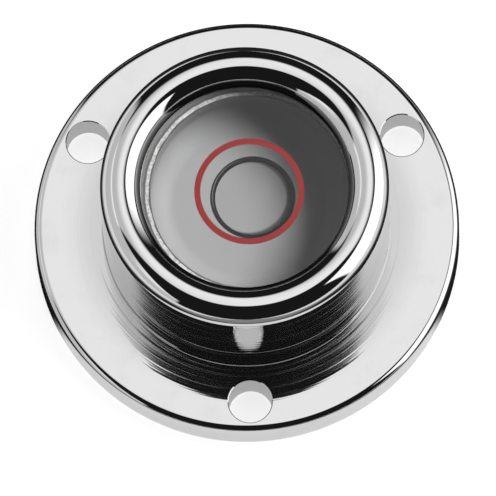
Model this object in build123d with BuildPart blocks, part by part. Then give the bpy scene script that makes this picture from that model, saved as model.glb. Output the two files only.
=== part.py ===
"""Circular spirit level in a flanged metal housing.

The back of the flange lies on Z = 0, and +Z runs up the housing's axis through the glass.
The vial (cup, cover glass, liquid and bubble) is bedded in the housing's bore, a little off
its axis, because it is trued to the flange before the bedding sets.
"""

import os
from math import atan2, cos, degrees, radians, sin, sqrt

from build123d import *

# ---- driving dimensions, in millimetres ----

# Vial: cover glass cemented on a metal cup
chamber_diameter = 20.5
chamber_depth = 6.2
cup_wall = 1.15
cup_floor_thickness = 1.6
joint_thickness = 0.15
cover_thickness = 2.5
cover_edge_chamfer = 0.25
vial_offset = 0.45

# Spherical hollow under the cover glass, which sets how far the bubble runs for a given tilt
dome_radius = 230.0

# Centring ring, fired into a groove in the underside of the cover glass
ring_mean_diameter = 10.7
ring_width = 0.62
ring_depth = 0.1

# Matt disc on the floor of the cup
backing_disc_thickness = 0.4

# Filler screw in the cup's floor, with its washer
filler_thread_diameter = 2.5
filler_head_diameter = 4.4
filler_head_height = 1.0
filler_slot_width = 0.6
filler_slot_depth = 0.5
filler_end_setback = 0.2
filler_washer_thickness = 0.35

# Gas bubble: flat against the glass, with a round side and a full belly
bubble_diameter = 8.8
bubble_side_radius = 0.92
bubble_belly_radius = 8.0
bubble_rest_offset = 0.61
bubble_rest_angle = -55.0

# Housing: a bore for the vial, an upright wall with a half-round rim, and a flange
bedding_thickness = 0.6
bore_wall = 2.9
lip_overhang = 1.25
lip_thickness = 2.1
flange_width = 7.1
flange_thickness = 4.5
flange_top_round = 0.8
flange_back_chamfer = 0.25
rim_height_above_flange = 17.0

# Three fixing holes through the flange
hole_diameter = 4.5
hole_to_edge = 0.95
hole_count = 3
first_hole_angle = 30.0

# Disc that closes the bore at the back
closing_disc_ledge = 1.0
closing_disc_thickness = 1.0
closing_disc_setback = 0.2

# Layers and clearances
lip_seal_thickness = 0.1
lip_seal_edge_gap = 0.05
bedding_headroom = 0.6
backing_disc_edge_gap = 0.1
liquid_gap = 0.05
bubble_gap = 0.03

# ---- sizes and places worked out from them ----

chamber_radius = chamber_diameter / 2
cover_radius = chamber_radius + cup_wall
bore_radius = cover_radius + bedding_thickness
wall_radius = bore_radius + bore_wall
mouth_radius = bore_radius - lip_overhang
flange_radius = wall_radius + flange_width
hole_circle_radius = flange_radius - hole_to_edge - hole_diameter / 2
closing_disc_radius = bore_radius + closing_disc_ledge

rim_round = (wall_radius - mouth_radius) / 2
rim_top_z = flange_thickness + rim_height_above_flange
rim_centre_z = rim_top_z - rim_round
shoulder_z = rim_top_z - lip_thickness
closing_disc_top_z = closing_disc_setback + closing_disc_thickness

cover_top_z = shoulder_z - lip_seal_thickness
cover_bottom_z = cover_top_z - cover_thickness
cup_top_z = cover_bottom_z - joint_thickness
cup_floor_z = cover_bottom_z - chamber_depth
cup_bottom_z = cup_floor_z - cup_floor_thickness
backing_top_z = cup_floor_z + backing_disc_thickness

washer_bottom_z = cup_bottom_z - filler_washer_thickness
filler_head_bottom_z = washer_bottom_z - filler_head_height
filler_end_z = cup_floor_z - filler_end_setback

dome_centre_z = cover_bottom_z - sqrt(dome_radius**2 - chamber_radius**2)
ring_inner_radius = (ring_mean_diameter - ring_width) / 2
ring_outer_radius = (ring_mean_diameter + ring_width) / 2

# The bubble's half section, measured from the dome's centre along the bubble's own axis
bubble_top = dome_radius - bubble_gap
bubble_flat_radius = bubble_diameter / 2 - bubble_side_radius
bubble_side_height = sqrt(bubble_top**2 - bubble_flat_radius**2) - bubble_side_radius
belly_to_side = bubble_belly_radius - bubble_side_radius
belly_height = bubble_side_height + sqrt(belly_to_side**2 - bubble_flat_radius**2)
belly_join_angle = degrees(atan2(bubble_side_height - belly_height, bubble_flat_radius))

vial_axis = Axis((vial_offset, 0, 0), (0, 0, 1))
vial_section = Plane((vial_offset, 0, 0), x_dir=(1, 0, 0), z_dir=(0, -1, 0))


def dome_height(radius, depth_in_glass=0.0):
    """Height of the dome, or of a surface that far into the glass, at a distance from its axis."""
    return dome_centre_z + sqrt((dome_radius + depth_in_glass) ** 2 - radius**2)


def dome_arc(from_radius, to_radius, depth_in_glass=0.0):
    """Arc along the dome between two distances from the vial's axis."""
    middle_radius = (from_radius + to_radius) / 2
    ends = [(r, dome_height(r, depth_in_glass)) for r in (from_radius, middle_radius, to_radius)]
    return ThreePointArc(*ends)


def bubble_underside(gap=0.0):
    """Round side and belly of the bubble's half section, grown by a gap."""
    CenterArc(
        center=(bubble_flat_radius, bubble_side_height),
        radius=bubble_side_radius + gap,
        start_angle=90,
        arc_size=belly_join_angle - 90,
    )
    CenterArc(
        center=(0, belly_height),
        radius=bubble_belly_radius + gap,
        start_angle=belly_join_angle,
        arc_size=-90 - belly_join_angle,
    )


# ---- housing: one turned body, polished and plated ----

with BuildPart() as housing:
    with BuildSketch(Plane.XZ):
        with BuildLine():
            Polyline(
                (mouth_radius, rim_centre_z),
                (mouth_radius, shoulder_z),
                (bore_radius, shoulder_z),
                (bore_radius, closing_disc_top_z),
                (closing_disc_radius, closing_disc_top_z),
                (closing_disc_radius, 0),
                (flange_radius, 0),
                (flange_radius, flange_thickness),
                (wall_radius, flange_thickness),
                (wall_radius, rim_centre_z),
            )
            ThreePointArc(
                (wall_radius, rim_centre_z),
                (wall_radius - rim_round, rim_top_z),
                (mouth_radius, rim_centre_z),
            )
        make_face()
    revolve(axis=Axis.Z)
    flange_edges = housing.edges().filter_by(GeomType.CIRCLE).sort_by(SortBy.RADIUS)[-2:]
    fillet(flange_edges.sort_by(Axis.Z)[-1], radius=flange_top_round)
    back_edges = housing.edges().filter_by(GeomType.CIRCLE).sort_by(SortBy.RADIUS)[-2:]
    chamfer(back_edges.sort_by(Axis.Z)[0], length=flange_back_chamfer)
    with Locations(Plane.XY.offset(flange_thickness)):
        with PolarLocations(hole_circle_radius, hole_count, start_angle=first_hole_angle):
            Hole(radius=hole_diameter / 2)
housing.part.label = "housing"

# ---- cover glass: flat above, hollowed to a sphere below, with the ring's groove ----

with BuildPart() as cover_glass:
    with BuildSketch(vial_section):
        with BuildLine():
            Polyline(
                (0, dome_height(0)),
                (0, cover_top_z),
                (cover_radius, cover_top_z),
                (cover_radius, cover_bottom_z),
                (chamber_radius, cover_bottom_z),
            )
            dome_arc(chamber_radius, 0)
        make_face()
    revolve(axis=vial_axis)
    chamfer(cover_glass.faces().sort_by(Axis.Z)[-1].edges(), length=cover_edge_chamfer)
    with BuildSketch(vial_section):
        with BuildLine():
            dome_arc(ring_inner_radius, ring_outer_radius, depth_in_glass=ring_depth)
            Polyline(
                (ring_outer_radius, dome_height(ring_outer_radius, ring_depth)),
                (ring_outer_radius, cover_bottom_z - ring_depth),
                (ring_inner_radius, cover_bottom_z - ring_depth),
                (ring_inner_radius, dome_height(ring_inner_radius, ring_depth)),
            )
        make_face()
    revolve(axis=vial_axis, mode=Mode.SUBTRACT)
cover_glass.part.label = "cover_glass"

# ---- centring ring: fills its groove flush with the dome ----

with BuildPart() as centring_ring:
    with BuildSketch(vial_section):
        with BuildLine():
            dome_arc(ring_inner_radius, ring_outer_radius, depth_in_glass=ring_depth)
            dome_arc(ring_inner_radius, ring_outer_radius)
            for side_radius in (ring_inner_radius, ring_outer_radius):
                Line((side_radius, dome_height(side_radius)), (side_radius, dome_height(side_radius, ring_depth)))
        make_face()
    revolve(axis=vial_axis)
centring_ring.part.label = "centring_ring"

# ---- vial cup: open cup with a tapped filler hole in its floor ----

with BuildPart() as vial_cup:
    with BuildSketch(Plane((vial_offset, 0, cup_bottom_z))):
        Circle(cover_radius)
    extrude(amount=cup_top_z - cup_bottom_z)
    with BuildSketch(Plane((vial_offset, 0, cup_floor_z))):
        Circle(chamber_radius)
    extrude(amount=cup_top_z - cup_floor_z, mode=Mode.SUBTRACT)
    with Locations(Plane((vial_offset, 0, cup_floor_z))):
        Hole(radius=filler_thread_diameter / 2)
vial_cup.part.label = "vial_cup"

# ---- joint cement: layer between the cup's edge and the cover glass ----

with BuildPart() as joint_cement:
    with BuildSketch(Plane((vial_offset, 0, cup_top_z))):
        Circle(cover_radius)
        Circle(chamber_radius, mode=Mode.SUBTRACT)
    extrude(amount=joint_thickness)
joint_cement.part.label = "joint_cement"

# ---- backing disc: matt disc that hides the filler screw ----

with BuildPart() as backing_disc:
    with BuildSketch(Plane((vial_offset, 0, cup_floor_z))):
        Circle(chamber_radius - backing_disc_edge_gap)
    extrude(amount=backing_disc_thickness)
backing_disc.part.label = "backing_disc"

# ---- filler screw and its washer, under the cup's floor ----

with BuildPart() as filler_screw:
    with BuildSketch(Plane((vial_offset, 0, filler_head_bottom_z))):
        Circle(filler_head_diameter / 2)
    extrude(amount=filler_head_height)
    with BuildSketch(Plane((vial_offset, 0, washer_bottom_z))):
        Circle(filler_thread_diameter / 2)
    extrude(amount=filler_end_z - washer_bottom_z)
    with BuildSketch(Plane((vial_offset, 0, filler_head_bottom_z))):
        Rectangle(2 * filler_head_diameter, filler_slot_width)
    extrude(amount=filler_slot_depth, mode=Mode.SUBTRACT)
filler_screw.part.label = "filler_screw"

with BuildPart() as filler_washer:
    with BuildSketch(Plane((vial_offset, 0, washer_bottom_z))):
        Circle(filler_head_diameter / 2)
        Circle(filler_thread_diameter / 2, mode=Mode.SUBTRACT)
    extrude(amount=filler_washer_thickness)
filler_washer.part.label = "filler_washer"

# ---- liquid: fills the chamber round the bubble ----

dome_centre = Vector(vial_offset, 0, dome_centre_z)
bubble_lean = bubble_rest_offset / dome_radius
bubble_heading = radians(bubble_rest_angle)
bubble_up = Vector(
    sin(bubble_lean) * cos(bubble_heading),
    sin(bubble_lean) * sin(bubble_heading),
    cos(bubble_lean),
)
bubble_out = Vector(
    cos(bubble_lean) * cos(bubble_heading),
    cos(bubble_lean) * sin(bubble_heading),
    -sin(bubble_lean),
)
bubble_section = Plane(dome_centre, x_dir=bubble_out, z_dir=bubble_out.cross(bubble_up))
bubble_axis = Axis(dome_centre, bubble_up)

with BuildPart() as liquid:
    with BuildSketch(vial_section):
        with BuildLine():
            dome_arc(0, chamber_radius - liquid_gap, depth_in_glass=-liquid_gap)
            Polyline(
                (chamber_radius - liquid_gap, dome_height(chamber_radius - liquid_gap, -liquid_gap)),
                (chamber_radius - liquid_gap, backing_top_z + liquid_gap),
                (0, backing_top_z + liquid_gap),
                (0, dome_height(0, -liquid_gap)),
            )
        make_face()
    revolve(axis=vial_axis)
    with BuildSketch(bubble_section):
        with BuildLine():
            bubble_underside(gap=bubble_gap)
            Polyline(
                (0, belly_height - bubble_belly_radius - bubble_gap),
                (0, dome_radius),
                (bubble_flat_radius, dome_radius),
                (bubble_flat_radius, bubble_side_height + bubble_side_radius + bubble_gap),
            )
        make_face()
    revolve(axis=bubble_axis, mode=Mode.SUBTRACT)
liquid.part.label = "liquid"

# ---- bubble: gas held flat under the dome ----

with BuildPart() as bubble:
    with BuildSketch(bubble_section):
        with BuildLine():
            bubble_underside()
            ThreePointArc(
                (0, bubble_top),
                (bubble_flat_radius / 2, sqrt(bubble_top**2 - (bubble_flat_radius / 2) ** 2)),
                (bubble_flat_radius, bubble_side_height + bubble_side_radius),
            )
            Line((0, bubble_top), (0, belly_height - bubble_belly_radius))
        make_face()
    revolve(axis=bubble_axis)
bubble.part.label = "bubble"

# ---- lip seal: sealing compound between the housing's lip and the glass ----

with BuildPart() as lip_seal:
    with BuildSketch(Plane.XY.offset(cover_top_z)):
        Circle(bore_radius - lip_seal_edge_gap)
        Circle(mouth_radius, mode=Mode.SUBTRACT)
    extrude(amount=lip_seal_thickness)
lip_seal.part.label = "lip_seal"

# ---- bedding: sets round and under the vial, and over the filler screw ----

with BuildPart() as bedding:
    with BuildSketch(Plane.XY.offset(closing_disc_top_z)):
        Circle(bore_radius)
    extrude(amount=cover_top_z - bedding_headroom - closing_disc_top_z)
    with BuildSketch(Plane((vial_offset, 0, cup_bottom_z))):
        Circle(cover_radius)
    extrude(amount=cover_top_z - cup_bottom_z, mode=Mode.SUBTRACT)
    with BuildSketch(Plane((vial_offset, 0, filler_head_bottom_z))):
        Circle(filler_head_diameter / 2)
    extrude(amount=cup_bottom_z - filler_head_bottom_z, mode=Mode.SUBTRACT)
bedding.part.label = "bedding"

# ---- closing disc: pressed into the back of the flange ----

with BuildPart() as closing_disc:
    with BuildSketch(Plane.XY.offset(closing_disc_setback)):
        Circle(closing_disc_radius)
    extrude(amount=closing_disc_thickness)
    chamfer(closing_disc.faces().sort_by(Axis.Z)[0].edges(), length=closing_disc_setback)
closing_disc.part.label = "closing_disc"

# ---- write each piece to its own file ----

os.makedirs("parts", exist_ok=True)
pieces = (
    housing,
    cover_glass,
    centring_ring,
    vial_cup,
    joint_cement,
    backing_disc,
    filler_screw,
    filler_washer,
    liquid,
    bubble,
    lip_seal,
    bedding,
    closing_disc,
)
for piece in pieces:
    export_step(piece.part, f"parts/{piece.part.label}.step")
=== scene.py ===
"""Circular spirit level: the visible pieces, their finishes, and a small studio round them.

Everything is in metres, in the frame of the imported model: the flange's back lies on Z = 0 and
the housing's axis is Z. The sections follow the level as it is put together.
"""

import math

import bmesh
import bpy
from mathutils import Matrix, Vector


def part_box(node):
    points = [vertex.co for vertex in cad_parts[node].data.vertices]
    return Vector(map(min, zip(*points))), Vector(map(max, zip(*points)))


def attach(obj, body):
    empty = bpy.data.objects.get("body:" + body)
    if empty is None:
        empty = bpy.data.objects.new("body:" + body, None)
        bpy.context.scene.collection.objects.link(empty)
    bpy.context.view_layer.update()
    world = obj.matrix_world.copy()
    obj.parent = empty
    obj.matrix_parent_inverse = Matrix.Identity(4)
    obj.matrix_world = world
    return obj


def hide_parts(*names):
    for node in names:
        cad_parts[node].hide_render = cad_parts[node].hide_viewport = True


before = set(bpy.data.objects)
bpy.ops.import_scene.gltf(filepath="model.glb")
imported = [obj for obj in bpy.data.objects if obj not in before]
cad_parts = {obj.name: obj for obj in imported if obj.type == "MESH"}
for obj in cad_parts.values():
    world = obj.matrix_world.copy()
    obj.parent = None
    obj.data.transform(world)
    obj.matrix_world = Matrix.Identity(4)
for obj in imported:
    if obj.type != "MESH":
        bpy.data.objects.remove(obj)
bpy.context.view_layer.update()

MM = 0.001
scene = bpy.context.scene

# ---- Housing ----
# One body turned from brass bar: flange, upright wall and a rim rounded to a half circle.
# It is bored from the back for the vial, drilled for three screws, polished and plated.

housing_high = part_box("housing")[1]
seal_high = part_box("lip_seal")[1]
closing_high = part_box("closing_disc")[1]
bedding_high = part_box("bedding")[1]

flange_radius = housing_high.x
flange_width = 7.1 * MM
flange_thickness = 4.5 * MM
flange_round = 0.8 * MM
flange_back_chamfer = 0.25 * MM
wall_radius = flange_radius - flange_width
wall_foot_round = 0.12 * MM
bore_radius = bedding_high.x
lip_overhang = 1.25 * MM
mouth_radius = bore_radius - lip_overhang
rim_round = (wall_radius - mouth_radius) / 2
rim_height = housing_high.z - rim_round
hole_radius = 2.25 * MM
hole_margin = 0.95 * MM
hole_circle = flange_radius - hole_margin - hole_radius
hole_break = 0.09 * MM
hole_angles = (30, 150, 270)
hole_places = [
    (hole_circle * math.cos(math.radians(angle)), hole_circle * math.sin(math.radians(angle)))
    for angle in hole_angles
]
drill_overrun = 1 * MM
# A point this far along the flat beside a round keeps the flat's shading flat.
hold = 0.04 * MM


def arc(centre, radius, start, end, pieces):
    """Points along an arc in a half section, from one angle to another in degrees."""
    turn = math.radians(end - start) / pieces
    angles = [math.radians(start) + turn * i for i in range(pieces + 1)]
    return [(centre[0] + radius * math.cos(a), centre[1] + radius * math.sin(a)) for a in angles]


def finished(name, bm, sharp=35):
    """An object from a bmesh, smooth but for its sharp corners."""
    bmesh.ops.remove_doubles(bm, verts=bm.verts, dist=1e-8)
    bmesh.ops.recalc_face_normals(bm, faces=bm.faces)
    for face in bm.faces:
        face.smooth = True
    mesh = bpy.data.meshes.new(name)
    bm.to_mesh(mesh)
    bm.free()
    mesh.set_sharp_from_angle(angle=math.radians(sharp))
    piece = bpy.data.objects.new(name, mesh)
    scene.collection.objects.link(piece)
    return piece


def turned(outline, centre=(0, 0), closed=True, steps=288):
    """A bmesh turned about an upright axis from the (radius, height) points of a half section."""
    bm = bmesh.new()
    points = [bm.verts.new((centre[0] + r, centre[1], z)) for r, z in outline]
    ends = zip(points, points[1:] + points[:1]) if closed else zip(points, points[1:])
    edges = [bm.edges.new(pair) for pair in ends]
    bmesh.ops.spin(
        bm,
        geom=points + edges,
        cent=(centre[0], centre[1], 0),
        axis=(0, 0, 1),
        angle=math.tau,
        steps=steps,
        use_merge=True,
    )
    return bm


def cut(piece, cutters, sharp=35):
    """Cuts the cutters out of a piece and removes them."""
    for cutter in cutters:
        step = piece.modifiers.new(cutter.name, "BOOLEAN")
        step.object = cutter
        step.operation = "DIFFERENCE"
        step.solver = "EXACT"
    graph = bpy.context.evaluated_depsgraph_get()
    mesh = bpy.data.meshes.new_from_object(piece.evaluated_get(graph))
    piece.modifiers.clear()
    piece.data = mesh
    mesh.set_sharp_from_angle(angle=math.radians(sharp))
    for cutter in cutters:
        bpy.data.objects.remove(cutter)


housing_outline = [
    (mouth_radius, seal_high.z),
    (mouth_radius, rim_height - hold),
    *arc((wall_radius - rim_round, rim_height), rim_round, 180, 0, 40),
    (wall_radius, rim_height - hold),
    (wall_radius, flange_thickness + wall_foot_round + hold),
    *arc(
        (wall_radius + wall_foot_round, flange_thickness + wall_foot_round),
        wall_foot_round,
        180,
        270,
        5,
    ),
    (wall_radius + wall_foot_round + hold, flange_thickness),
    (flange_radius - flange_round - hold, flange_thickness),
    *arc((flange_radius - flange_round, flange_thickness - flange_round), flange_round, 90, 0, 10),
    (flange_radius, flange_thickness - flange_round - hold),
    (flange_radius, flange_back_chamfer),
    (flange_radius - flange_back_chamfer, 0),
    (closing_high.x, 0),
    (closing_high.x, closing_high.z),
    (bore_radius, closing_high.z),
    (bore_radius, seal_high.z),
]
housing = finished("housing_turned", turned(housing_outline))

drills = []
for angle, hole_place in zip(hole_angles, hole_places):
    drill_outline = [
        (0, -drill_overrun),
        (hole_radius + hole_break, -drill_overrun),
        (hole_radius + hole_break, 0),
        (hole_radius, hole_break),
        (hole_radius, flange_thickness - hole_break),
        (hole_radius + hole_break, flange_thickness),
        (hole_radius + hole_break, flange_thickness + drill_overrun),
        (0, flange_thickness + drill_overrun),
    ]
    drill = turned(drill_outline, hole_place, closed=False, steps=96)
    drills.append(finished(f"drill_{angle}", drill))
cut(housing, drills)
for face in housing.data.polygons:
    in_hole = any(
        math.hypot(face.center.x - x, face.center.y - y) < hole_radius + hole_break
        for x, y in hole_places
    )
    upright = abs(face.normal.z) < 0.5
    face.material_index = 1 if in_hole and upright else 0
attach(housing, "housing_body")
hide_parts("housing")


class Signal:
    """A value running through a finish. Sums and products of signals add the nodes they need."""

    def __init__(self, tree, socket=None):
        self.tree = tree
        self.socket = socket

    def node(self, kind, settings=None, inputs=None, output=0):
        """Adds a node: its settings, then the values or signals of its sockets."""
        made = self.tree.nodes.new(kind)
        for key, value in (settings or {}).items():
            setattr(made, key, value)
        for key, value in (inputs or {}).items():
            if isinstance(value, Signal):
                self.tree.links.new(value.socket, made.inputs[key])
            else:
                made.inputs[key].default_value = value
        return Signal(self.tree, made.outputs[output] if len(made.outputs) else None)

    def maths(self, operation, first, second=0.0):
        """A Math node on two numbers or signals."""
        return self.node("ShaderNodeMath", {"operation": operation}, {0: first, 1: second})

    def __add__(self, other):
        return self.maths("ADD", self, other)

    def __sub__(self, other):
        return self.maths("SUBTRACT", self, other)

    def __rsub__(self, other):
        return self.maths("SUBTRACT", other, self)

    def __mul__(self, other):
        return self.maths("MULTIPLY", self, other)

    def __truediv__(self, other):
        return self.maths("DIVIDE", self, other)

    def __neg__(self):
        return self.maths("SUBTRACT", 0.0, self)

    __radd__ = __add__
    __rmul__ = __mul__

    def root(self):
        """Square root."""
        return self.maths("SQRT", self)

    def most(self, other):
        """The greater of this and another."""
        return self.maths("MAXIMUM", self, other)

    def fade(self, start, end):
        """0 before start, 1 after end, and smooth between."""
        settings = {"interpolation_type": "SMOOTHSTEP"}
        return self.node("ShaderNodeMapRange", settings, {0: self, 1: start, 2: end, 3: 0.0, 4: 1.0})

    def mixed(self, low, high):
        """A colour between two colours, by this signal."""
        settings = {"data_type": "RGBA"}
        return self.node("ShaderNodeMix", settings, {0: self, 6: low, 7: high}, output=2)

    def noise(self, scale, detail=2.0, roughness=0.5, distortion=0.0):
        """Noise over this vector."""
        inputs = {
            "Vector": self,
            "Scale": scale,
            "Detail": detail,
            "Roughness": roughness,
            "Distortion": distortion,
        }
        return self.node("ShaderNodeTexNoise", None, inputs)

    def banding(self, scale, detail=2.0):
        """Noise along this number."""
        settings = {"noise_dimensions": "1D"}
        return self.node("ShaderNodeTexNoise", settings, {"W": self, "Scale": scale, "Detail": detail})

    def bump(self, distance, strength=1.0):
        """A normal roughened by this height."""
        return self.node(
            "ShaderNodeBump", None, {"Height": self, "Distance": distance, "Strength": strength}
        )

    def parts(self):
        """This vector's x, y and z."""
        split = self.node("ShaderNodeSeparateXYZ", None, {0: self}).socket.node
        return [Signal(self.tree, split.outputs[i]) for i in range(3)]


def finish(name):
    """A new material, and the point on the object that its finish is worked out from."""
    material = bpy.data.materials.new(name)
    material.use_nodes = True
    tree = material.node_tree
    tree.nodes.clear()
    place = Signal(tree).node("ShaderNodeTexCoord", output="Object")
    return material, place


def surface(place, inputs, settings=None):
    """The finish's Principled shader, as its surface."""
    shader = place.node("ShaderNodeBsdfPrincipled", settings, inputs)
    place.node("ShaderNodeOutputMaterial", None, {"Surface": shader})
    return shader


def wear(piece, *materials):
    """Gives a piece its materials, in place of any it has, and keeps which face has which."""
    chosen = [face.material_index for face in piece.data.polygons]
    piece.data.materials.clear()
    for material in materials:
        piece.data.materials.append(material)
    for face, which in zip(piece.data.polygons, chosen):
        face.material_index = min(which, len(materials) - 1)


def from_axis(place, x=0.0, y=0.0):
    """Distance from an upright axis, and the height."""
    across, along, up = place.parts()
    across = across - x
    along = along - y
    return (across * across + along * along).root(), up


plating, place = finish("polished plating")
radius, up = from_axis(place)
below_rim = up.fade(rim_height - 0.4 * MM, rim_height - 0.9 * MM)
near_wall = radius.fade(wall_radius + 4.5 * MM, wall_radius + 0.5 * MM)
tool_path = radius + up
turning = tool_path.banding(1500.0, detail=2.0) + 0.12 * tool_path.banding(5000.0, detail=1.0)
ripple = place.noise(90.0, detail=1.0)
smudge = place.noise(260.0, detail=4.0, roughness=0.6).fade(0.48, 0.78)
turned_side = below_rim * near_wall
polished = smudge.mixed((0.82, 0.82, 0.82, 1), (0.77, 0.77, 0.78, 1))
surface(
    place,
    {
        "Base Color": turned_side.mixed(polished, (0.66, 0.66, 0.66, 1)),
        "Metallic": 1.0,
        "Roughness": 0.028 + 0.035 * smudge + 0.03 * turned_side,
        "Normal": (turning * (0.12 + 0.68 * turned_side) + 0.2 * ripple).bump(0.018 * MM),
    },
)

drilled, place = finish("drilled hole plating")
chatter = place.parts()[2].banding(2600.0, detail=3.0)
surface(
    place,
    {
        "Base Color": chatter.mixed((0.52, 0.52, 0.52, 1), (0.70, 0.70, 0.70, 1)),
        "Metallic": 1.0,
        "Roughness": 0.22 + 0.2 * chatter,
        "Normal": chatter.bump(0.01 * MM),
    },
)
wear(housing, plating, drilled)

# ---- Cover glass ----
# A thick disc of clear glass, flat on top and ground to a shallow sphere underneath, with its
# edge chamfered. The dome is wetted by the liquid, so it bends light less than the dry faces.

glass_low, glass_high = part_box("cover_glass")
liquid_low, liquid_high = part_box("liquid")
vial_x = (glass_low.x + glass_high.x) / 2
cover_radius = (glass_high.x - glass_low.x) / 2
liquid_gap = 0.05 * MM
chamber_radius = (liquid_high.x - liquid_low.x) / 2 + liquid_gap
dome_radius = 230 * MM
dome_centre = glass_low.z - math.sqrt(dome_radius**2 - chamber_radius**2)
cover_chamfer = 0.25 * MM
GLASS_INDEX = 1.52
LIQUID_INDEX = 1.36


def dome(radius, into_glass=0.0):
    """Height of the dome at a distance from the vial's axis."""
    return dome_centre + math.sqrt((dome_radius + into_glass) ** 2 - radius**2)


def dome_run(start, end, pieces, into_glass=0.0):
    """Points along the dome between two distances from the vial's axis."""
    radii = [start + (end - start) * i / pieces for i in range(pieces + 1)]
    return [(r, dome(r, into_glass)) for r in radii]


cover_outline = [
    *dome_run(0, chamber_radius, 12),
    (cover_radius, glass_low.z),
    (cover_radius, glass_high.z - cover_chamfer),
    (cover_radius - cover_chamfer, glass_high.z),
    (0, glass_high.z),
]
cover = finished("cover_glass_ground", turned(cover_outline, (vial_x, 0), closed=False))
for face in cover.data.polygons:
    on_top = face.normal.z > 0.9
    over_liquid = math.hypot(face.center.x - vial_x, face.center.y) < chamber_radius
    wetted = face.normal.z < -0.9 and over_liquid
    face.material_index = 2 if on_top else 1 if wetted else 0
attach(cover, "housing_body")
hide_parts("cover_glass")


def darkened(place, roughness, gloss):
    """A nearly black shader."""
    inputs = {
        "Base Color": (0.012, 0.012, 0.012, 1),
        "Roughness": roughness,
        "Specular IOR Level": gloss,
    }
    return place.node("ShaderNodeBsdfPrincipled", None, inputs)


def clear_glass(name, index, gloss=0.5, shadow=0.95, painted_dark=None, painted_dark_to_mirrors=False):
    """Clear glass or gas that bends what is seen through it, and lets lamps straight through.

    Where it is painted dark it shows painted shade, a near-black shader mixed over the glass. A lid is
    painted near black to mirrored rays, a painted reflection in the polished metal that mirrors it.
    """
    material, place = finish(name)
    smear = place.noise(320.0, detail=3.0).fade(0.55, 0.9)
    shown = place.node(
        "ShaderNodeBsdfPrincipled",
        None,
        {
            "Base Color": smear.mixed((0.99, 0.99, 0.99, 1), (0.97, 0.97, 0.97, 1)),
            "Transmission Weight": 1.0,
            "IOR": index,
            "Specular IOR Level": gloss,
            "Roughness": 0.012 * smear,
        },
    )
    clear = place.node("ShaderNodeBsdfTransparent", None, {"Color": (shadow, shadow, shadow, 1)})
    # Painted shade: where the mask is high, a near-black shader is mixed over the clear glass or gas.
    if painted_dark:
        dark = darkened(place, roughness=0.5, gloss=0.1)
        shown = place.node("ShaderNodeMixShader", None, {0: painted_dark(place), 1: shown, 2: dark})
    others = {"Is Shadow Ray": clear, "Is Diffuse Ray": clear}
    # Painted reflection: the cover's top is painted near black to mirrored rays, so the polished metal
    # mirrors it dark.
    if painted_dark_to_mirrors:
        others["Is Glossy Ray"] = darkened(place, roughness=0.03, gloss=0.5)
    rays = place.node("ShaderNodeLightPath").socket.node.outputs
    for ray, other in others.items():
        met = Signal(place.tree, rays[ray])
        shown = place.node("ShaderNodeMixShader", None, {0: met, 1: shown, 2: other})
    place.node("ShaderNodeOutputMaterial", None, {"Surface": shown})
    return material


wear(
    cover,
    clear_glass("cover glass", GLASS_INDEX, gloss=0.2),
    clear_glass("cover glass against liquid", GLASS_INDEX / LIQUID_INDEX),
    clear_glass("cover glass top", GLASS_INDEX, gloss=0.2, painted_dark_to_mirrors=True),
)

# ---- Centring ring ----
# Red enamel fired into a groove in the underside of the cover glass. It stands a hair proud of
# the dome, so that the two faces don't lie in one another.

ring_low, ring_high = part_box("centring_ring")
ring_outer = (ring_high.x - ring_low.x) / 2
ring_width = 0.62 * MM
ring_inner = ring_outer - ring_width
ring_depth = 0.1 * MM
ring_stand = 0.004 * MM
ring_outline = [
    *dome_run(ring_inner, ring_outer, 4, -ring_stand),
    *reversed(dome_run(ring_inner, ring_outer, 4, ring_depth)),
]
ring = finished("centring_ring_enamel", turned(ring_outline, (vial_x, 0)))
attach(ring, "housing_body")
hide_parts("centring_ring")

enamel, place = finish("red enamel")
grain = place.noise(5200.0, detail=2.0)
surface(
    place,
    {
        "Base Color": grain.mixed((0.085, 0.0006, 0.0008, 1), (0.115, 0.0012, 0.0015, 1)),
        "Roughness": 0.32 + 0.16 * grain,
        "Specular IOR Level": 0.08,
    },
)
wear(ring, enamel)

# ---- Vial cup ----
# Turned aluminium cup that holds the liquid. Its inside is lacquered a matt pale grey, and its
# outside and edge are bare.

cup_low, cup_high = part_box("vial_cup")
backing_low, backing_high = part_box("backing_disc")
cup_wall_round = 0.1 * MM
filler_hole_radius = 1.25 * MM
cup_outline = [
    (filler_hole_radius, cup_low.z),
    (cup_high.x - vial_x - cup_wall_round, cup_low.z),
    (cup_high.x - vial_x, cup_low.z + cup_wall_round),
    (cup_high.x - vial_x, cup_high.z),
    (chamber_radius, cup_high.z),
    (chamber_radius, backing_low.z),
    (filler_hole_radius, backing_low.z),
]
cup = finished("vial_cup_turned", turned(cup_outline, (vial_x, 0)))
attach(cup, "housing_body")
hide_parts("vial_cup")

cup_finish, place = finish("turned cup, lacquered inside")
radius, up = from_axis(place, vial_x)
within_wall = radius.fade(chamber_radius + 0.04 * MM, chamber_radius + 0.02 * MM)
above_floor = up.fade(backing_low.z - 0.05 * MM, backing_low.z - 0.02 * MM)
inside = within_wall * above_floor
outside = 1.0 - inside
rings = (radius + up).banding(2600.0, detail=4.0)
speckle = place.noise(3800.0, detail=3.0)
lacquer_dark = (0.118, 0.118, 0.118, 1)
lacquer_pale = (0.145, 0.145, 0.145, 1)
lacquer_gloss = 0.12
lacquer = speckle.mixed(lacquer_dark, lacquer_pale)
bare = rings.mixed((0.62, 0.62, 0.63, 1), (0.80, 0.80, 0.81, 1))
surface(
    place,
    {
        "Base Color": inside.mixed(bare, lacquer),
        "Metallic": outside,
        "Roughness": 0.3 + 0.3 * inside + 0.08 * rings,
        "Specular IOR Level": lacquer_gloss,
        "Normal": (rings * outside + 0.3 * speckle).bump(0.006 * MM),
    },
)
wear(cup, cup_finish)

# ---- Backing disc ----
# Thin disc on the cup's floor that hides the filler screw. It is sprayed matt grey together
# with the cup's wall, and the lacquer fills the corner between them with a round.

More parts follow.
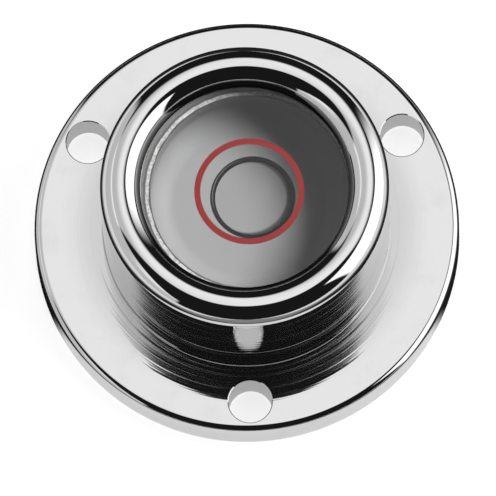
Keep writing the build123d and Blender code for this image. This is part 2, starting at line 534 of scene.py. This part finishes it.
disc_gap = 0.02 * MM
disc_undercut = 0.1 * MM
disc_radius = chamber_radius - disc_gap
corner_round = 2.4 * MM
corner = (disc_radius - corner_round, backing_high.z + corner_round)
disc_outline = [
    (0, backing_low.z),
    (chamber_radius - disc_undercut, backing_low.z),
    (disc_radius, backing_high.z),
    *arc(corner, corner_round, 0, -90, 16),
    (corner[0] - hold, backing_high.z),
    (0, backing_high.z),
]
disc = finished("backing_disc_lacquered", turned(disc_outline, (vial_x, 0), closed=False))
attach(disc, "housing_body")
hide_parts("backing_disc")

backing_finish, place = finish("matt grey lacquer")
speckle = place.noise(3800.0, detail=3.0)
cloud = place.noise(160.0, detail=2.0)
surface(
    place,
    {
        "Base Color": (speckle * 0.3 + cloud * 0.7).mixed(lacquer_dark, lacquer_pale),
        "Roughness": 0.55 + 0.15 * speckle,
        "Specular IOR Level": lacquer_gloss,
        "Normal": speckle.bump(0.004 * MM),
    },
)
wear(disc, backing_finish)

# ---- Joint cement ----
# Pale cement between the cup's edge and the glass. It was pressed out unevenly as the glass was
# seated, so its inner edge wanders.

cement_low, cement_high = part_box("joint_cement")
cement_bulge = 0.05 * MM
cement_outline = [
    (chamber_radius, cement_low.z),
    (chamber_radius - cement_bulge, (cement_low.z + cement_high.z) / 2),
    (chamber_radius, cement_high.z),
    (cover_radius, cement_high.z),
    (cover_radius, cement_low.z),
]
cement = finished("joint_cement_pressed", turned(cement_outline, (vial_x, 0), steps=240))
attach(cement, "housing_body")
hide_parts("joint_cement")

cement_finish, place = finish("set cement")
radius, up = from_axis(place, vial_x)
wander = place.noise(700.0, detail=3.0)
crumb = place.noise(4200.0, detail=4.0)
# Millimetres outwards from the chamber's wall, more in some places and less in others.
reach = (radius - chamber_radius) / MM + 0.30 * wander - 0.15
# Painted shade: the cement is coloured near black along its inner edge, as the shade in the gap at the
# chamber wall. Outwards follow a pale ridge, near black again, then a grey band.
ridge = reach.fade(0.06, 0.16) * reach.fade(0.52, 0.40)
outer = reach.fade(0.62, 0.80)
pale = ridge * (0.45 + 0.55 * crumb.fade(0.35, 0.6)) + 0.16 * outer
surface(
    place,
    {
        "Base Color": pale.mixed((0.015, 0.015, 0.015, 1), (0.25, 0.25, 0.245, 1)),
        "Roughness": 0.5 + 0.3 * crumb,
        "Normal": crumb.bump(0.02 * MM),
    },
)
wear(cement, cement_finish)

# ---- Filler screw and washer ----
# Small slotted brass screw that closes the filling hole under the cup. A fibre washer under
# its head keeps the liquid in.

brass, place = finish("turned brass")
radius, up = from_axis(place, vial_x)
rings = (radius + up).banding(3000.0, detail=4.0)
surface(
    place,
    {
        "Base Color": rings.mixed((0.56, 0.40, 0.16, 1), (0.72, 0.54, 0.25, 1)),
        "Metallic": 1.0,
        "Roughness": 0.22 + 0.14 * rings,
        "Normal": rings.bump(0.004 * MM),
    },
)
wear(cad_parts["filler_screw"], brass)

fibre, place = finish("washer fibre")
fleck = place.noise(4200.0, detail=5.0)
surface(
    place,
    {
        "Base Color": fleck.mixed((0.16, 0.04, 0.03, 1), (0.30, 0.08, 0.06, 1)),
        "Roughness": 0.6 + 0.2 * fleck,
        "Normal": fleck.bump(0.01 * MM),
    },
)
wear(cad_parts["filler_washer"], fibre)

# ---- Liquid ----
# Clear spirit that fills the chamber. It only carries a trace of colour, because the faces that
# bend light are the glass's and the bubble's.

film = 0.01 * MM
liquid_outline = [
    (0, backing_high.z + film),
    (corner[0] - hold, backing_high.z + film),
    *arc(corner, corner_round - film, -90, -6, 14),
    (disc_radius - film, corner[1]),
    *reversed(dome_run(0, disc_radius - film, 12, -film)),
]
liquid = finished("liquid_fill", turned(liquid_outline, (vial_x, 0), closed=False, steps=192))
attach(liquid, "liquid_body")
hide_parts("liquid")

spirit, place = finish("clear spirit")
tint = place.noise(40.0).mixed((0.992, 0.998, 0.994, 1), (0.996, 1.0, 0.997, 1))
clear = place.node("ShaderNodeBsdfTransparent", None, {"Color": tint})
place.node("ShaderNodeOutputMaterial", None, {"Surface": clear})
wear(liquid, spirit)

# ---- Bubble ----
# Gas flattened against the dome, with a tight round side and a full belly. It rests a little
# off the ring's centre, so its own axis leans from the dome's centre.

bubble_side = 0.92 * MM
bubble_belly = 8.0 * MM
bubble_film = 0.03 * MM
bubble_low, bubble_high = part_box("bubble")
bubble_radius = (bubble_high.x - bubble_low.x) / 2
bubble_shift = Vector(
    (
        (bubble_low.x + bubble_high.x) / 2 - vial_x,
        (bubble_low.y + bubble_high.y) / 2,
        0,
    )
)
flat_radius = bubble_radius - bubble_side
bubble_top = dome_radius - bubble_film
side_height = math.sqrt(bubble_top**2 - flat_radius**2) - bubble_side
belly_height = side_height + math.sqrt((bubble_belly - bubble_side) ** 2 - flat_radius**2)
join = math.degrees(math.atan2(side_height - belly_height, flat_radius))
flat_steps = 6
bubble_outline = [
    (0, bubble_top),
    *(
        (flat_radius * i / flat_steps, math.sqrt(bubble_top**2 - (flat_radius * i / flat_steps) ** 2))
        for i in range(1, flat_steps)
    ),
    *arc((flat_radius, side_height), bubble_side, 90, join, 30),
    *arc((0, belly_height), bubble_belly, join, -90, 24)[1:],
]
bubble_mesh = turned(bubble_outline, closed=False, steps=192)
lean = bubble_shift.length / (dome_radius - bubble_side)
bubble_mesh.transform(
    Matrix.Translation((vial_x, 0, dome_centre))
    @ Matrix.Rotation(lean, 4, Vector((0, 0, 1)).cross(bubble_shift))
)
bubble = finished("bubble_gas", bubble_mesh)
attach(bubble, "bubble_body")
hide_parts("bubble")
bubble_x = vial_x + bubble_shift.x
bubble_y = bubble_shift.y
contact_x = bubble_x - 0.45 * MM
contact_y = bubble_y + 0.1 * MM
# Painted shade: how grey the bubble is coloured from where it meets the glass.
contact_shade = 0.55


def painted_bubble_shade(place):
    """Painted shade on the bubble: black at its steep edge, and grey from where it meets the glass."""
    outwards = from_axis(place, bubble_x, bubble_y)[0]
    edge = outwards.fade(bubble_radius - 0.26 * MM, bubble_radius - 0.20 * MM)
    outwards = from_axis(place, contact_x, contact_y)[0]
    slope = outwards.fade(3.85 * MM, 4.15 * MM)
    return (contact_shade * slope).most(edge)


wear(bubble, clear_glass("gas in liquid", 1 / LIQUID_INDEX, shadow=0.97, painted_dark=painted_bubble_shade))

# ---- Lip seal ----
# Line of black sealing compound between the housing's lip and the glass. It keeps water out of
# the bore.

compound, place = finish("sealing compound")
lump = place.noise(1800.0, detail=3.0)
surface(
    place,
    {
        "Base Color": lump.mixed((0.010, 0.010, 0.010, 1), (0.035, 0.034, 0.033, 1)),
        "Roughness": 0.35 + 0.3 * lump,
        "Normal": lump.bump(0.02 * MM),
    },
)
wear(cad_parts["lip_seal"], compound)

# ---- Bedding ----
# Fine plaster poured round the vial while it is held true to the flange. It is left to set
# before the back is closed.

plaster, place = finish("set plaster")
grain = place.noise(2400.0, detail=5.0, roughness=0.65)
patch = place.noise(220.0, detail=2.0)
surface(
    place,
    {
        "Base Color": (grain * 0.4 + patch * 0.6).mixed((0.62, 0.60, 0.56, 1), (0.84, 0.83, 0.79, 1)),
        "Roughness": 0.8 + 0.15 * grain,
        "Normal": grain.bump(0.04 * MM),
    },
)
wear(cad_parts["bedding"], plaster)

# ---- Closing disc ----
# Brass disc faced on the lathe and pressed into the back of the flange. Handling has dulled it
# in patches.

faced, place = finish("faced brass disc")
radius = from_axis(place)[0]
rings = radius.banding(2200.0, detail=5.0)
handling = place.noise(180.0, detail=4.0).fade(0.4, 0.75)
surface(
    place,
    {
        "Base Color": handling.mixed((0.66, 0.52, 0.27, 1), (0.50, 0.38, 0.19, 1)),
        "Metallic": 1.0,
        "Roughness": 0.26 + 0.12 * rings + 0.12 * handling,
        "Normal": rings.bump(0.008 * MM),
    },
)
wear(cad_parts["closing_disc"], faced)

# ---- Studio ----
# A pale floor, an overhead softbox that leans into a card on the left, and a large softbox on
# the right. The polished metal mirrors them, and the dark room between them.

floor_drop = 0.05 * MM
floor_reach = 3.0
floor_mesh = bmesh.new()
bmesh.ops.create_grid(floor_mesh, x_segments=1, y_segments=1, size=floor_reach)
bmesh.ops.translate(floor_mesh, verts=floor_mesh.verts, vec=(0, 0, -floor_drop))
floor = finished("floor", floor_mesh)
floor_finish, place = finish("pale floor")
paper = place.noise(30.0, detail=2.0)
across, along = place.parts()[:2]
outwards = from_axis(place, y=-20 * MM)[0]
near = outwards.fade(24 * MM, 21 * MM)
outwards = from_axis(place)[0]
under = outwards.fade(21.6 * MM, 21.0 * MM)
aside = (across * across).root().fade(36 * MM, 75 * MM)
front = 0.3 * (-along).fade(40 * MM, 60 * MM)
# Painted reflection: to mirrored rays the floor is painted dark, except for the part in front of the
# level, under it and out to its sides.
pale_in_mirrors = near.most(under).most(aside).most(front)
mirrored_paleness = 0.70
mirrored = place.node("ShaderNodeLightPath", output="Is Glossy Ray")
# Painted reflection: the floor's colour and glow are dimmed for glossy rays outside the pale mask.
pale = 1.0 - mirrored * (1.0 - mirrored_paleness * pale_in_mirrors)
top = place.node(
    "ShaderNodeBsdfPrincipled",
    None,
    {
        "Base Color": (pale * (0.97 + 0.03 * paper)).mixed((0.01, 0.01, 0.01, 1), (0.86, 0.86, 0.86, 1)),
        "Roughness": 0.9,
        "Emission Color": pale.mixed((0, 0, 0, 1), (1, 1, 1, 1)),
        "Emission Strength": 0.73,
    },
)
open_below = place.node("ShaderNodeBsdfTransparent")
from_below = place.node("ShaderNodeNewGeometry", output="Backfacing")
seen_floor = place.node("ShaderNodeMixShader", None, {0: from_below, 1: top, 2: open_below})
place.node("ShaderNodeOutputMaterial", None, {"Surface": seen_floor})
wear(floor, floor_finish)

studio = bpy.data.worlds.new("studio")
studio.use_nodes = True
studio.node_tree.nodes.clear()
scene.world = studio
towards = Signal(studio.node_tree).node("ShaderNodeTexCoord", output="Generated")
right, far, high = towards.parts()


def kept_up(value):
    """A number kept above zero, so that it can divide."""
    return value.most(0.02)


# The softbox overhead, by where a line of sight meets a ceiling one unit up.
over_x = right / kept_up(high)
over_y = far / kept_up(high)
near_edge = over_y - 0.18 * (over_x * over_x).fade(0.0, 0.085)
overhead = near_edge.fade(-0.19, -0.10) * over_y.fade(1.0, 0.66)
overhead = overhead * over_x.fade(-1.6, -0.9) * (over_x - 0.12 * over_y).fade(0.52, 0.20)
overhead = overhead * (0.56 + 0.40 * over_x.fade(-0.45, 0.05)) * high.fade(0.0, 0.1)

# The card on the left, by where a line of sight meets a wall one unit away.
left_y = far / kept_up(-right)
left_z = high / kept_up(-right)
left_card = left_y.fade(-1.34, -1.2) * left_y.fade(1.36, 1.1) * left_z.fade(1.35, 0.85)
left_card = left_card * (left_z + 0.42 * left_y.fade(-0.3, -1.25)).fade(1.08, 0.95)
hot = left_y.fade(-0.2, -0.6) * left_z.fade(0.35, 0.7)
left_card = left_card * (0.56 + 0.4 * hot) * (-right).fade(0.02, 0.1)

# The softbox on the right, in the same way.
right_y = far / kept_up(right)
right_z = high / kept_up(right)
right_card = (right_y + 0.13 * right_z).fade(-0.66, -0.57) * right_y.fade(1.15, 0.42)
right_card = right_card * (right_z + 0.35 * right_y.fade(0.0, 0.9)).fade(1.78, 1.58)
right_card = right_card * right.fade(0.02, 0.1) * 1.35

# A weaker light from below shows the back of the flange.
below = (-high).fade(0.02, 0.3) * (0.25 + 0.5 * (far + 0.5 * right).fade(-0.7, 0.7))
room = 0.010 + overhead + (left_card + right_card) * high.fade(-0.3, -0.1) + below
camera_ray = towards.node("ShaderNodeLightPath", output="Is Camera Ray")
seen = towards.node("ShaderNodeBackground", None, {"Color": (0.93, 0.93, 0.93, 1), "Strength": 1.0})
lit = towards.node("ShaderNodeBackground", None, {"Color": (1, 1, 1, 1), "Strength": room})
backdrop = towards.node("ShaderNodeMixShader", None, {0: camera_ray, 1: lit, 2: seen})
towards.node("ShaderNodeOutputWorld", None, {"Surface": backdrop})

# The key lamp lights only the inside of the vial, which the housing and the cup shade from it.
lit_inside = bpy.data.collections.new("inside_vial")
for piece in (cup, disc, cement, ring):
    lit_inside.objects.link(piece)
key_lamp = bpy.data.lights.new("key", "SUN")
key_lamp.energy = 10.2
key_lamp.angle = math.radians(26)
key = bpy.data.objects.new("key", key_lamp)
key.rotation_mode = "QUATERNION"
key_side = math.radians(17)
key_lean = math.radians(38)
key_from = Vector(
    (
        math.sin(key_lean) * math.cos(key_side),
        math.sin(key_lean) * math.sin(key_side),
        math.cos(key_lean),
    )
)
key.rotation_quaternion = key_from.to_track_quat("Z", "Y")
key.light_linking.receiver_collection = lit_inside
shading = bpy.data.collections.new("shading_vial")
for piece in (housing, cup):
    shading.objects.link(piece)
key.light_linking.blocker_collection = shading
scene.collection.objects.link(key)

# ---- Camera ----
# A long lens from the front, high over the level, so that it looks steeply down on the glass.
# It is rolled a little, and turned a little round the level's axis.

frame_width = 51.35 * MM
camera_distance = 2.0
elevation = math.radians(74.5)
azimuth = math.radians(1.9)
roll = math.radians(3.1)
aim = Vector((0.09 * MM, -2.36 * MM, flange_thickness))
lens = bpy.data.cameras.new("camera")
lens.sensor_width = 36.0
lens.lens = lens.sensor_width * camera_distance / frame_width
lens.clip_start = 0.1
lens.clip_end = 10.0
camera = bpy.data.objects.new("camera", lens)
scene.collection.objects.link(camera)
back = Vector(
    (
        math.sin(azimuth) * math.cos(elevation),
        -math.cos(azimuth) * math.cos(elevation),
        math.sin(elevation),
    )
)
camera.location = aim + back * camera_distance
camera.rotation_mode = "QUATERNION"
facing = (-back).to_track_quat("-Z", "Y")
camera.rotation_quaternion = facing @ Matrix.Rotation(-roll, 3, "Z").to_quaternion()
scene.camera = camera
scene.view_settings.view_transform = "Standard"
